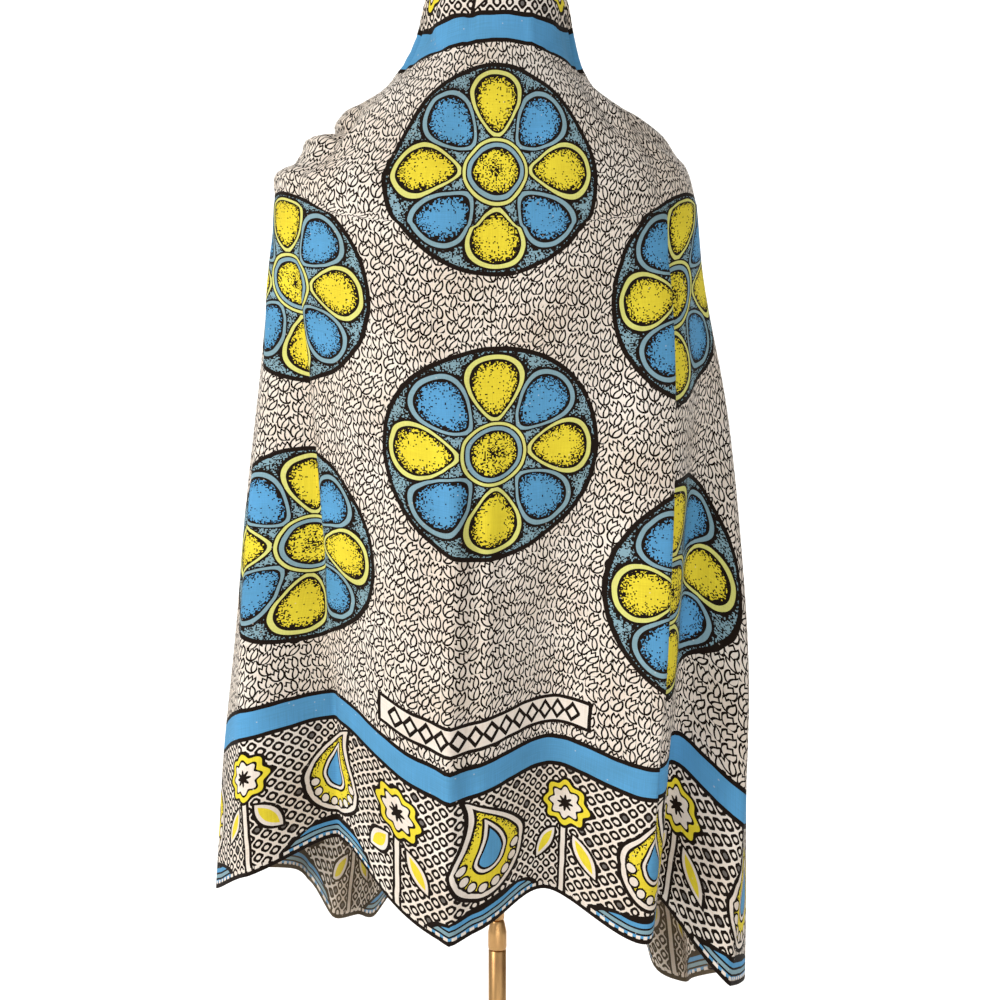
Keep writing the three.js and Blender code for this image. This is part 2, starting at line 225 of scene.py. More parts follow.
def along(table, key, place, column):
    """One column's value at a place along a table: a smooth curve that never overshoots its rows."""
    keys, values = table[key], table[column]
    at = np.clip(place, keys[0], keys[-1])
    chords = np.diff(values) / np.diff(keys)
    slopes = np.empty_like(values)
    slopes[0], slopes[-1] = chords[0], chords[-1]
    product = chords[:-1] * chords[1:]
    total = chords[:-1] + chords[1:]
    slopes[1:-1] = np.where(product > 0, 2 * product / np.where(product > 0, total, 1), 0)
    i = np.clip(np.searchsorted(keys, at, side="left") - 1, 0, len(keys) - 2)
    step = keys[i + 1] - keys[i]
    t = (at - keys[i]) / step
    return ((2 * t**3 - 3 * t**2 + 1) * values[i] + (t**3 - 2 * t**2 + t) * slopes[i] * step
            + (3 * t**2 - 2 * t**3) * values[i + 1] + (t**3 - t**2) * slopes[i + 1] * step)


def smoothstep(value, low, high):
    t = np.clip((value - low) / (high - low), 0, 1)
    return t * t * (3 - 2 * t)


def bell(distance, width):
    return np.exp(-((distance / width) ** 2))


rings = columns_of(RING_COLUMNS, RINGS)
folds = columns_of(FOLD_COLUMNS, FOLDS)


def thread_angle(across, plain, plain_angle, edge_angle, straight):
    """The angle round the body of a thread: over the plain stretch, then spread to the front edge."""
    away = np.abs(across)
    part = away / plain
    smooth = plain_angle * part * (straight + (1 - straight) * part**2)
    gathered = plain_angle + (edge_angle - plain_angle) * (away - plain) / (EDGE - plain)
    return np.sign(across) * np.where(away < plain, smooth, gathered)


def crease_depth(across, down):
    """How far the fine creases stand out of the cloth at each place."""
    out = np.zeros_like(across)
    for crease in rows_of(CREASE_COLUMNS, CREASES):
        way_across, way_down = crease.to_across - crease.across, crease.to_down - crease.down
        from_across, from_down = across - crease.across, down - crease.down
        run = np.hypot(way_across, way_down)
        part = (from_across * way_across + from_down * way_down) / run**2
        off = (from_across * way_down - from_down * way_across) / run
        wander = CREASE_WANDER * crease.wide * np.sin(down / WANDER_LENGTH + crease.across)
        end = 1.0 if crease.to_down < CREASE_TO_HEM else 1.6
        reach = smoothstep(part, 0, 0.25) * (1 - smoothstep(part, 0.75, end))
        out -= crease.deep * bell(off + wander, crease.wide) * reach
    return out


def sharp_folds(across, down, column):
    """How far the sharp folds stand out, or drop, at each place."""
    total = np.zeros_like(across)
    for fold in rows_of(SHARP_COLUMNS, SHARP_FOLDS):
        opened = np.clip((down - fold.start) / (CLOTH_HEIGHT - fold.start), 0, 1) ** FOLD_GROWTH
        ridge = np.exp(-np.hypot(across - fold.across, SHARP_ROUND) / fold.wide)
        total += getattr(fold, column) * opened * ridge
    return total


def round_turn(x, radius):
    """0 before 0 and x after it, with a round corner between."""
    return (x + np.hypot(x, radius)) / 2


def round_step(x, radius):
    """0 well before 0 and 1 well after it: the slope of the round corner."""
    return (1 + x / np.hypot(x, radius)) / 2


def pleated(across, down):
    """Where each thread lies once the pleats are laid, and how far its layer stands out."""
    place, lift = np.array(across, float), np.zeros_like(across, float)
    for pleat in rows_of(PLEAT_COLUMNS, PLEATS):
        part = np.clip((down - pleat.down) / (pleat.to_down - pleat.down), 0, 1)
        past = pleat.side * (across - (pleat.across + (pleat.to_across - pleat.across) * part))
        laid = (smoothstep(down, pleat.down, pleat.down + PLEAT_END)
                * (1 - smoothstep(down, pleat.to_down - 40, pleat.to_down + PLEAT_END)))
        taken = pleat.taken * laid
        hidden = (1 + pleat.back) * taken
        turns = round_turn(past - taken, pleat.turn) - round_turn(past, pleat.turn)
        spread = hidden / PLEAT_SPREAD * np.clip(past - hidden, 0, PLEAT_SPREAD)
        place += pleat.side * ((1 + pleat.back) * turns + spread)
        if pleat.back:
            layer = 1 - round_step(past, pleat.turn) - round_step(past - taken, pleat.turn)
        else:
            layer = 1 - 2 * smoothstep(past, -2 * pleat.turn, hidden + 2 * pleat.turn)
        away = np.maximum(0, np.maximum(-past, past - hidden) - pleat.turn)
        lift += pleat.rise * laid * layer * np.exp(-away / PLEAT_FADE)
    return place, lift


def soft_drape(across, down):
    """Slow unevenness of hanging cotton: long and short waves down it, more at its ends, and waves across."""
    hanging = smoothstep(down, 230, 700)
    ends = smoothstep(np.abs(across), 300, 480)
    long_waves = 1.5 * np.sin(across / 23 + 1.1 * np.sin(down / 130))
    short_waves = np.sin(across / 14.3 + down / 170 + 2)
    cross_waves = 0.56 * np.sin(down / 37 + across / 61 + 1.3 * np.sin(across / 90))
    return (hanging * (0.55 + 0.5 * ends) * (long_waves + short_waves)
            + cross_waves * smoothstep(down, 190, 330))


def cloth_points(thread, down):
    """The cloth's middle surface in millimetres, at threads from the middle of the back and down it."""
    across, lift = pleated(thread, down)
    yoke = 1 - (1 - np.clip((down - YOKE_FROM) / (YOKE_TO - YOKE_FROM), 0, 1)) ** 2
    hang = np.clip((down - HANG_FROM) / (CLOTH_HEIGHT - HANG_FROM), 0, 1)
    neck = thread_angle(across, NECK_PLAIN, NECK_PLAIN_ANGLE, NECK_EDGE_ANGLE, 1)
    shoulder = thread_angle(across, SIDE, 90, SHOULDER_EDGE_ANGLE, SHOULDER_STRAIGHT)
    fold = {name: along(folds, "across", across, name) for name in FOLD_COLUMNS.split()[1:]}
    ring = {name: along(rings, "down", down, name) for name in RING_COLUMNS.split()[1:]}
    angle = np.radians((neck + (shoulder - neck) * yoke) * (1 - hang) + fold["angle"] * hang)
    s, c = np.sin(angle), np.cos(angle)
    wide = np.where(s < 0, ring["left"], ring["right"])
    deep = np.where(c > 0, ring["back"], ring["front"])
    side_z = np.where(s < 0, ring["z_left"], ring["z_right"])
    middle_z = np.where(c > 0, ring["z_back"], ring["z_front"])
    out_x, out_y = s / wide, -c / deep
    size = np.hypot(out_x, out_y)

    opened = np.clip((down - fold["start"]) / (CLOTH_HEIGHT - fold["start"]), 0, 1)
    away = np.abs(across)
    gathered = smoothstep(away, NECK_PLAIN, 2 * NECK_PLAIN)
    waves = np.sin(2 * np.pi * NECK_WAVES * (away - NECK_PLAIN) / (EDGE - NECK_PLAIN))
    tuck = TUCK_DEEP * bell(across - TUCK_ACROSS, TUCK_WIDE) * bell(down - TUCK_DOWN, TUCK_LONG)
    creases = crease_depth(thread, down)
    out = fold["out"] * opened**FOLD_GROWTH + NECK_WAVE_DEPTH * gathered * waves * (1 - yoke) - tuck
    out += creases + soft_drape(thread, down) + sharp_folds(thread, down, "out") + lift
    z = side_z * s * s + middle_z * c * c
    z += (fold["hem"] - z) * hang - tuck
    z += SHOULDER_RISE * (1 - smoothstep(down, SHOULDER_FROM, SHOULDER_TO)) * creases
    z -= sharp_folds(thread, down, "drop")
    return np.stack([wide * s + out_x / size * out, -deep * c + out_y / size * out, z], axis=-1)


# --- Meshes ---------------------------------------------------------------------------------------

def mesh_object(name, vertices, faces, materials, uvs=None, face_materials=None, smooth=True):
    """A new object from points in metres, with a UV for each vertex if it has a print or grain."""
    mesh = bpy.data.meshes.new(name)
    mesh.from_pydata([tuple(v) for v in vertices], [], [tuple(f) for f in faces])
    for material in materials:
        mesh.materials.append(material)
    if uvs is not None:
        layer = mesh.uv_layers.new(name="cloth")
        corners = np.empty(len(mesh.loops), dtype=np.int32)
        mesh.loops.foreach_get("vertex_index", corners)
        layer.data.foreach_set("uv", np.asarray(uvs, np.float32)[corners].ravel())
    if face_materials is not None:
        mesh.polygons.foreach_set("material_index", np.asarray(face_materials, np.int32))
    mesh.polygons.foreach_set("use_smooth", np.full(len(mesh.polygons), smooth))
    mesh.update()
    obj = bpy.data.objects.new(name, mesh)
    bpy.context.scene.collection.objects.link(obj)
    return obj


def grid_faces(rows, columns, offset=0, flip=False):
    """Quads of a grid of rows by columns points."""
    r, c = np.meshgrid(np.arange(rows - 1), np.arange(columns - 1), indexing="ij")
    a = (r * columns + c).ravel() + offset
    quads = np.stack([a, a + columns, a + columns + 1, a + 1], axis=1)
    return quads[:, ::-1] if flip else quads


def unit(vectors):
    return vectors / np.linalg.norm(vectors, axis=-1, keepdims=True)


def surface_frame(across, down, step=0.8):
    """Points of the sheet, the ways across and down it, and its face, at any places on the cloth."""
    middle = cloth_points(across, down)
    right = cloth_points(np.minimum(across + step, EDGE), down)
    left = cloth_points(np.maximum(across - step, -EDGE), down)
    below = cloth_points(across, np.minimum(down + step, CLOTH_HEIGHT))
    above = cloth_points(across, np.maximum(down - step, 0))
    sideways, downwards = right - left, below - above
    face = np.cross(downwards, sideways)
    return middle, unit(sideways), unit(downwards), unit(face)


def steps_between(places, counts):
    """Places along a line, with a count of even steps between each pair of the given ones."""
    steps = [places[0]]
    for start, end, count in zip(places, places[1:], counts):
        steps += list(np.linspace(start, end, count + 1)[1:])
    return steps


def cloth_sheet(materials):
    """The whole cloth as one thin closed sheet, printed side out, a little thicker along its end hems."""
    end = steps_between(END_PLACES, END_STEPS) + [EDGE - HEM_WIDE + EDGE_ROUND, EDGE - 1, EDGE]
    across = [-place for place in end[:0:-1]] + steps_between(BACK_PLACES, BACK_STEPS) + end[1:]
    down = steps_between(DOWN_PLACES, DOWN_STEPS) + [CLOTH_HEIGHT - EDGE_ROUND, CLOTH_HEIGHT]
    grid_across, grid_down = np.meshgrid(across, down)
    middle, _, _, face = surface_frame(grid_across, grid_down)
    hem = smoothstep(np.abs(grid_across), EDGE - HEM_WIDE, EDGE - HEM_WIDE + EDGE_ROUND)
    depth = np.minimum(EDGE - np.abs(grid_across), np.minimum(grid_down, CLOTH_HEIGHT - grid_down))
    half = (THICK + HEM_THICK * hem) / 2 * (EDGE_THIN + (1 - EDGE_THIN) * smoothstep(depth, 0, EDGE_ROUND))
    outer = middle + face * half[..., None]
    inner = middle - face * half[..., None]
    rows, columns = grid_across.shape
    size = rows * columns
    rim = np.concatenate([
        np.arange(columns - 1), np.arange(rows - 1) * columns + columns - 1,
        (rows - 1) * columns + np.arange(columns - 1, 0, -1), np.arange(rows - 1, 0, -1) * columns,
    ])
    ahead = np.roll(rim, -1)
    edge_faces = np.stack([rim, ahead, ahead + size, rim + size], axis=1)
    faces = np.concatenate([grid_faces(rows, columns), grid_faces(rows, columns, size, True), edge_faces])
    border = (depth[:-1, :-1] + depth[1:, 1:] < 2 * BORDER).ravel()
    kinds = np.concatenate([border, border + 2, np.ones(len(edge_faces))])
    points = np.concatenate([outer.reshape(-1, 3), inner.reshape(-1, 3)]) * MM
    uvs = np.stack([grid_across.ravel(), grid_down.ravel()], axis=1) * MM
    return mesh_object("wrap_cloth", points, faces, materials, np.concatenate([uvs, uvs]), kinds)


def hem_stitches(name, side, material):
    """A row of thread stitches along one end hem, on both faces of the cloth."""
    places = np.arange(STITCH_PITCH, CLOTH_HEIGHT - STITCH_PITCH, STITCH_PITCH)
    across = np.full_like(places, side * (EDGE - HEM_WIDE + STITCH_IN))
    middle, sideways, downwards, face = surface_frame(across, places)
    crown = [(long, wide, high) for high in (0.6, -0.2) for long in (-0.32, 0.32) for wide in (0.5, -0.5)]
    shape = [(-0.5, 0, 0), *crown[:4], (0.5, 0, 0), *crown[4:]]
    quads = [(1, 2, 4, 3), (0, 1, 6), (0, 2, 1), (0, 7, 2), (5, 3, 4), (5, 8, 3), (5, 4, 9),
             (6, 8, 9, 7), (1, 3, 8, 6), (2, 7, 9, 4), (0, 6, 7), (5, 9, 8)]
    lift = (THICK + HEM_THICK) / 2
    points, faces = [], []
    for surface in (1, -1):
        for place, s, d, f in zip(middle, sideways, downwards, face):
            start = len(points)
            for long, wide, high in shape:
                points.append(place + d * long * STITCH_LONG + s * wide * STITCH_WIDE * surface
                              + f * surface * (lift + high * STITCH_HIGH))
            faces += [tuple(start + i for i in quad) for quad in quads]
    return mesh_object(name, np.array(points) * MM, faces, [material])


# --- Shader nodes ---------------------------------------------------------------------------------

class Field:
    """A number that varies over a surface: an output socket with arithmetic that adds Math nodes."""

    def __init__(self, tree, socket):
        self.tree, self.socket = tree, socket

    def math(self, operation, *others):
        node = self.tree.nodes.new("ShaderNodeMath")
        node.operation = operation
        for slot, value in zip(node.inputs, (self, *others)):
            if isinstance(value, Field):
                self.tree.links.new(value.socket, slot)
            else:
                slot.default_value = value
        return Field(self.tree, node.outputs[0])

    def __add__(self, other):
        return self.math("ADD", other)

    def __sub__(self, other):
        return self.math("SUBTRACT", other)

    def __rsub__(self, other):
        return self.scaled(-1, other)

    def __mul__(self, other):
        return self.math("MULTIPLY", other)

    def __truediv__(self, other):
        return self.math("DIVIDE", other)

    def __neg__(self):
        return self.math("MULTIPLY", -1)

    __radd__, __rmul__ = __add__, __mul__

    def abs(self):
        return self.math("ABSOLUTE")

    def floor(self):
        return self.math("FLOOR")

    def fract(self):
        return self.math("FRACT")

    def sin(self):
        return self.math("SINE")

    def cos(self):
        return self.math("COSINE")

    def exp(self):
        return self.math("EXPONENT")

    def min(self, other):
        return self.math("MINIMUM", other)

    def max(self, other):
        return self.math("MAXIMUM", other)

    def below(self, other):
        return self.math("LESS_THAN", other)

    def above(self, other):
        return self.math("GREATER_THAN", other)

    def centred(self, pitch):
        """The place within a repeat of this pitch, from minus half of it to half."""
        return self.math("WRAP", pitch / 2, -pitch / 2)

    def clamp(self):
        node = self.math("ADD", 0)
        node.socket.node.use_clamp = True
        return node

    def scaled(self, factor, plus):
        """This field times a factor, plus a number or field."""
        return self.math("MULTIPLY_ADD", factor, plus)


def length(x, y):
    return y.scaled(y, x * x).math("SQRT")


def turned(x, y, angle):
    """Two coordinates turned by an angle, a number or a field."""
    if isinstance(angle, Field):
        c, s = angle.cos(), angle.sin()
    else:
        c, s = math.cos(angle), math.sin(angle)
    return x * c + y * s, y * c - x * s


class Print:
    """Builds a material's colour by laying one flat ink after another over the cloth."""

    def __init__(self, tree, ground):
        self.tree = tree
        self.color = ground

    def lay(self, color, mask, blend="MIX"):
        node = self.tree.nodes.new("ShaderNodeMix")
        node.data_type = "RGBA"
        node.blend_type = blend
        self.tree.links.new(mask.socket, node.inputs["Factor"])
        colors_a, colors_b = node.inputs[6], node.inputs[7]
        for slot, value in ((colors_a, self.color), (colors_b, color)):
            if isinstance(value, bpy.types.NodeSocket):
                self.tree.links.new(value, slot)
            else:
                slot.default_value = value
        self.color = node.outputs[2]

    def bands(self, distance, rows, shown=None):
        """Lays the ink of each row where the distance is below that row's edge and above the one before.
        The first row's ink also covers everything below it."""
        edges = [edge for edge, _ in rows]
        low, high = edges[0] - 0.5, edges[-1]
        ramp = self.tree.nodes.new("ShaderNodeValToRGB")
        ramp.color_ramp.interpolation = "CONSTANT"
        stops = ramp.color_ramp.elements
        stops.remove(stops[1])
        stops[0].position, stops[0].color = 0.0, rows[0][1]
        for edge, (_, ink) in zip(edges, rows[1:]):
            stops.new((edge - low) / (high - low)).color = ink
        place = distance.scaled(1 / (high - low), -low / (high - low))
        self.tree.links.new(place.socket, ramp.inputs[0])
        inside = distance.below(high)
        self.lay(ramp.outputs[0], inside if shown is None else inside * shown)


def srgb(text):
    """A linear colour from a hex one."""
    def linear(value):
        return value / 12.92 if value <= 0.04045 else ((value + 0.055) / 1.055) ** 2.4
    parts = [int(text[i:i + 2], 16) / 255 for i in (0, 2, 4)]
    return (*(linear(part) for part in parts), 1.0)


def new_material(name, roughness, metallic=0.0):
    material = bpy.data.materials.new(name)
    material.use_nodes = True
    tree = material.node_tree
    shader = tree.nodes["Principled BSDF"]
    shader.inputs["Roughness"].default_value = roughness
    shader.inputs["Metallic"].default_value = metallic
    return material, tree, shader


def bump_height(tree, shader, height, strength, distance):
    bump = tree.nodes.new("ShaderNodeBump")
    bump.inputs["Strength"].default_value = strength
    bump.inputs["Distance"].default_value = distance
    tree.links.new(height.socket, bump.inputs["Height"])
    tree.links.new(bump.outputs[0], shader.inputs["Normal"])


def object_place(tree, scale=1000):
    """The place on the object in millimetres, as three fields."""
    coordinates = tree.nodes.new("ShaderNodeTexCoord")
    parts = tree.nodes.new("ShaderNodeSeparateXYZ")
    tree.links.new(coordinates.outputs["Object"], parts.inputs[0])
    return [Field(tree, parts.outputs[i]) * scale for i in range(3)]


CREAM = srgb("EDE4DA")
INK = srgb("1C130D")
BLUE = srgb("5A9FD0")
YELLOW = srgb("ECDA3C")
PALE_YELLOW = srgb("DCDD80")
GREY_BLUE = srgb("86A8B6")
GREY = srgb("6F6B68")
UNEVEN = srgb("D6C8B6")
WRONG_SIDE = srgb("C9B596")


def random_of(tree, x, y, seed):
    """Three numbers from 0 to 1 that are the same all over a cell."""
    place = tree.nodes.new("ShaderNodeCombineXYZ")
    tree.links.new(x.socket, place.inputs[0])
    tree.links.new(y.socket, place.inputs[1])
    place.inputs[2].default_value = seed
    noise = tree.nodes.new("ShaderNodeTexWhiteNoise")
    noise.noise_dimensions = "3D"
    tree.links.new(place.outputs[0], noise.inputs["Vector"])
    parts = tree.nodes.new("ShaderNodeSeparateColor")
    tree.links.new(noise.outputs["Color"], parts.inputs[0])
    return [Field(tree, parts.outputs[i]) for i in range(3)]


def noise_of(tree, x, y, scale_x, scale_y, detail=2.0):
    """Smooth noise from 0 to 1 over the cloth, at its own scale each way."""
    place = tree.nodes.new("ShaderNodeCombineXYZ")
    tree.links.new((x * scale_x).socket, place.inputs[0])
    tree.links.new((y * scale_y).socket, place.inputs[1])
    noise = tree.nodes.new("ShaderNodeTexNoise")
    noise.noise_dimensions = "2D"
    noise.inputs["Scale"].default_value = 1.0
    noise.inputs["Detail"].default_value = detail
    tree.links.new(place.outputs[0], noise.inputs["Vector"])
    return Field(tree, noise.outputs["Fac"])


# --- The print, in millimetres of cloth -----------------------------------------------------------

# The ground of buds: their repeat, line, shift and tilt, the cup, the zigzag that cuts its top, the vein.
BUD_PITCH, BUD_LINE, BUD_SHIFT, BUD_TILT = (12.0, 13.6), 1.62, 3.4, 0.55
CUP_HALF = (5.7, 7.5)
TOOTH_PITCH, TOOTH_SLOPE, TOOTH_TOP, TOOTH_LINE = 4.6, 8, 6.2, 0.55
VEIN_BEND, VEIN_LOW, VEIN_MIDDLE, VEIN_HALF, VEIN_ASIDE = 0.06, 5, 3, 4.2, 0.6

# The medallions: columns and rows, every other column dropped, and their petals and hearts.
MEDAL_PITCH, MEDAL_DROP, MEDAL_ROWS, MEDAL_TOP = 230, 146, 292, 312
MEDAL_RADIUS, MEDAL_LINE, HEART_RADIUS = 108, 4.8, 27
PETALS, PETAL_AT, PETAL_LONG, PETAL_WIDE, PETAL_FLARE, PETAL_ROOT = 8, 68, 36, 25, 0.35, 3
PETAL_EDGES = (-5.6, -4.2, -1.2, 0.2)
PETAL_MIDDLE = 2.7
STIPPLE, STIPPLE_LEAST, CORE_STIPPLE = 0.3, 0.01, 0.13
GRAIN = 1.25                             # the size of an ink speck

# The panel of lozenges, by its own outline and by one lozenge.
PANEL_DOWN, PANEL_HALF, PANEL_HIGH, PANEL_LINE = 893, 112, 12.5, 3.8
LOZENGES, LOZENGE_PITCH, LOZENGE_HALF, LOZENGE_SCALE, LOZENGE_LINE = 13, 16, (6.8, 9.2), 5, 3.0

# The border: its repeat, the net, the band, and the motifs, with depths from the cloth's edge.
BORDER_PITCH = 187.5
NET_PITCH, NET_SQUARE, NET_CORNER, NET_DOT, NET_GREY = 10.6, 4.45, 0.62, 2.15, 0.9
BAND, BAND_LINE = (145, 176), 4.8
DROP_DOWN, DROP_LOW, DROP_HIGH, DROP_TALL, DROP_CURL, DROP_LEAN = 72, 42, 5, 66, 0.0105, 0.34
BEADS, BEAD_RING, BEAD, BEAD_LINE = 14, 28.5, 4.2, 1.9
SEED_UP, SEED_LOW, SEED_HIGH, SEED_TALL = 4, 19, 3, 40
ROSETTE_DOWN, ROSETTE_RADIUS, SCALLOPS, SCALLOP_DEEP = 104, 27, 8, 2.2
LEAF_ASIDE, LEAF_DOWN, LEAF_TILT, LEAF_WIDE, LEAF_CURVE = 22, 56, 0.62, 11.5, 0.021
MOON_WIDE, MOON_HIGH, MOON_LINE = 64, 27, 2.8
EDGE_LINE, DASH_PITCH, DASH_HALF, DASH_DEPTH, DASH_HIGH = 5.5, 8.5, 2.4, 6.2, 1.7

# Bands of ink by distance: each reaches from the edge before it out to its own.
HEART_LINES = ((-4.2, YELLOW), (-2.6, INK), (1.4, GREY_BLUE), (3, INK), (6, PALE_YELLOW), (7.6, INK))
DROP_LINES = ((-10.6, YELLOW), (-8.2, INK), (-3.8, CREAM), (0, INK))
SEED_LINES = ((-7.6, BLUE), (-5.4, INK), (-2.4, CREAM), (0, INK))
ROSETTE_LINES = ((-20, INK), (-11.5, CREAM), (-9, INK), (-3.4, YELLOW), (0, INK))
LEAF_LINES = ((-6.6, YELLOW), (-3.2, CREAM), (0, INK))
STEM_LINES = ((2.4, CREAM), (5.2, INK))
MOON_LINES = ((4, INK), (8.4, BLUE), (10.4, INK), (14.2, GREY_BLUE), (16.2, INK), (20.6, BLUE), (27, INK))


def bud_lines(tree, u, v):
    """Outlined tulip buds, each tilted its own way, in columns that start at any height, as the distance
    to their lines."""
    wide, high = BUD_PITCH
    column_place = u / wide
    column = column_place.floor()
    row_place = v / high + random_of(tree, column, column, 2.0)[0]
    row = row_place.floor()
    r, g, b = random_of(tree, column, row, 5.0)
    x = column_place.fract().scaled(wide, -wide / 2 - BUD_SHIFT / 2) + r * BUD_SHIFT
    y = row_place.fract().scaled(-high, high / 2 - BUD_SHIFT / 2) + g * BUD_SHIFT
    x, y = turned(x, y, b.scaled(2 * BUD_TILT, -BUD_TILT))
    cup_wide, cup_high = CUP_HALF
    cup = length(x / cup_wide, y / cup_high).scaled(cup_wide, -cup_wide)
    teeth = (x / TOOTH_PITCH).math("PINGPONG", 0.5).scaled(-TOOTH_SLOPE, TOOTH_TOP)
    outline = cup.max((y - teeth) * TOOTH_LINE).abs()
    rise = y + VEIN_LOW
    vein = (x - rise * rise * VEIN_BEND + VEIN_ASIDE).abs().max((y + VEIN_MIDDLE).abs() - VEIN_HALF)
    return outline.min(vein)


def medallions(sheet, tree, u, v, grain):
    """Round flowers of eight petals, yellow and blue by turns, in a half-drop repeat. None is laid over
    the borders."""
    column = (u / MEDAL_PITCH).math("ROUND")
    odd = column.math("FLOORED_MODULO", 2)
    x = u - column * MEDAL_PITCH
    y = (v - odd * MEDAL_DROP - MEDAL_TOP).centred(MEDAL_ROWS)
    r, phi = length(x, y), y.math("ARCTAN2", x)
    disc = r - MEDAL_RADIUS
    whole = (v - y - CLOTH_HEIGHT / 2).abs().below(CLOTH_HEIGHT / 2 - BAND[1] - MEDAL_RADIUS / 2)
    shown = disc.below(0) * whole
    sector = 2 * math.pi / PETALS
    sheet.lay(GREY_BLUE, shown)
    petals = []
    for turn, fill, rim in ((phi, YELLOW, PALE_YELLOW), (phi + sector, BLUE, GREY_BLUE)):
        away = turn.centred(2 * sector)
        along_petal = (r * away.cos() - PETAL_AT) / PETAL_LONG
        petal = length(along_petal, r * away.sin() / r.scaled(PETAL_FLARE, PETAL_ROOT))
        petal = petal.scaled(PETAL_WIDE, -PETAL_WIDE)
        sheet.bands(petal, tuple(zip(PETAL_EDGES, (fill, INK, rim, INK))), shown)
        petals.append(petal)
    lines = (petals[0].min(petals[1]) + PETAL_MIDDLE).abs() - PETAL_MIDDLE
    density = (lines.min(-disc) * -STIPPLE).exp() + STIPPLE_LEAST
    sheet.lay(INK, grain.below(density) * lines.above(0) * shown)
    heart = r - HEART_RADIUS
    sheet.bands(heart, HEART_LINES, whole)
    core = (r * -CORE_STIPPLE).exp() + ((heart + 4) * STIPPLE).exp()
    sheet.lay(INK, grain.below(core) * heart.below(-4) * whole)
    sheet.lay(INK, disc.abs().below(MEDAL_LINE / 2) * whole)


def panel(sheet, u, v):
    """A long plain-edged panel with a row of open lozenges."""
    x, y = u, (v - PANEL_DOWN).abs()
    box = (x.abs() - PANEL_HALF).max(y - PANEL_HIGH)
    sheet.bands(box, ((0, CREAM), (PANEL_LINE, INK)))
    half_wide, half_high = LOZENGE_HALF
    lozenge = x.centred(LOZENGE_PITCH).abs() / half_wide + y / half_high
    line = lozenge.scaled(LOZENGE_SCALE, -LOZENGE_SCALE).abs()
    sheet.lay(INK, line.below(LOZENGE_LINE / 2) * x.abs().below(LOZENGE_PITCH * LOZENGES / 2))


def drop_shape(x, y, low, high, tall):
    """A rounded drop as a distance: two circles of radius low and high, and the flanks between them."""
    x = x.abs()
    sine = (low - high) / tall
    cosine = math.sqrt(1 - sine * sine)
    side = y * cosine - x * sine
    base = length(x, y) - low
    tip = length(x, y - tall) - high
    flank = x.scaled(cosine, y * sine) - low
    upper = side.above(cosine * tall)
    lower = side.below(0)
    return base * lower + tip * upper + flank * (1 - lower) * (1 - upper)


def border(sheet, tree, u, v, grain):
    """The border all round: a net, curled drops with beads, rosettes with leaves, striped half-moons and
    the plain band inside. Gives the place along the border."""
    side_depth = EDGE - u.abs()
    end_depth = v.min(CLOTH_HEIGHT - v)
    depth = side_depth.min(end_depth)
    run = u + (v - CLOTH_HEIGHT / 2 - u) * side_depth.below(end_depth)

    a, b = turned(run, depth, math.pi / 4)
    la, lb = a.centred(NET_PITCH).abs(), b.centred(NET_PITCH).abs()
    dot = length(la, lb)
    pick = random_of(tree, (a / NET_PITCH).math("ROUND"), (b / NET_PITCH).math("ROUND"), 3.0)[0]
    sheet.lay(INK, la.max(lb).max((la + lb) * NET_CORNER).below(NET_SQUARE))
    sheet.lay(CREAM, dot.below(NET_DOT))
    sheet.lay(GREY, dot.below(NET_DOT) * pick.above(NET_GREY))

    middle = (BAND[0] + BAND[1]) / 2
    half = (BAND[1] - BAND[0]) / 2
    sheet.bands((depth - middle).abs(), ((half - BAND_LINE / 2, BLUE), (half + BAND_LINE / 2, INK)))

    x = run.centred(BORDER_PITCH)
    hand = (run / BORDER_PITCH).math("ROUND").math("FLOORED_MODULO", 2).scaled(2, -1)
    x = x * hand
    moon = length(x / MOON_WIDE, depth / MOON_HIGH).scaled(MOON_HIGH, -MOON_HIGH)
    sheet.bands(depth, MOON_LINES, moon.below(0))
    sheet.lay(INK, moon.abs().below(MOON_LINE / 2))

    y = depth - DROP_DOWN
    rise = y.max(0)
    bent = x - rise * rise.scaled(DROP_CURL, -DROP_LEAN)
    drop = drop_shape(bent, y, DROP_LOW, DROP_HIGH, DROP_TALL)
    sheet.bands(drop, DROP_LINES)
    fill_edge = DROP_LINES[0][0]
    shade = ((drop - fill_edge) * STIPPLE).exp() * 0.6
    sheet.lay(INK, grain.below(shade) * drop.below(fill_edge))
    turn = y.math("ARCTAN2", bent).centred(2 * math.pi / BEADS)
    reach = length(bent, y)
    bead = length(reach * turn.cos() - BEAD_RING, reach * turn.sin())
    sheet.bands(bead, ((BEAD, CREAM), (BEAD + BEAD_LINE, INK)), y.below(BEAD + 2))
    sheet.bands(drop_shape(bent, y - SEED_UP, SEED_LOW, SEED_HIGH, SEED_TALL), SEED_LINES)

    gap = (run - BORDER_PITCH / 2).centred(BORDER_PITCH)
    sheet.bands(gap.abs(), STEM_LINES, depth.below(ROSETTE_DOWN))
    leaf_x, leaf_y = turned(gap.abs() - LEAF_ASIDE, depth - LEAF_DOWN, LEAF_TILT)
    sheet.bands((leaf_y * leaf_y).scaled(LEAF_CURVE, leaf_x.abs() - LEAF_WIDE), LEAF_LINES)
    gap_y = depth - ROSETTE_DOWN
    scallops = (gap_y.math("ARCTAN2", gap) * SCALLOPS).cos() * SCALLOP_DEEP
    sheet.bands(length(gap, gap_y) - scallops - ROSETTE_RADIUS, ROSETTE_LINES)
    return run


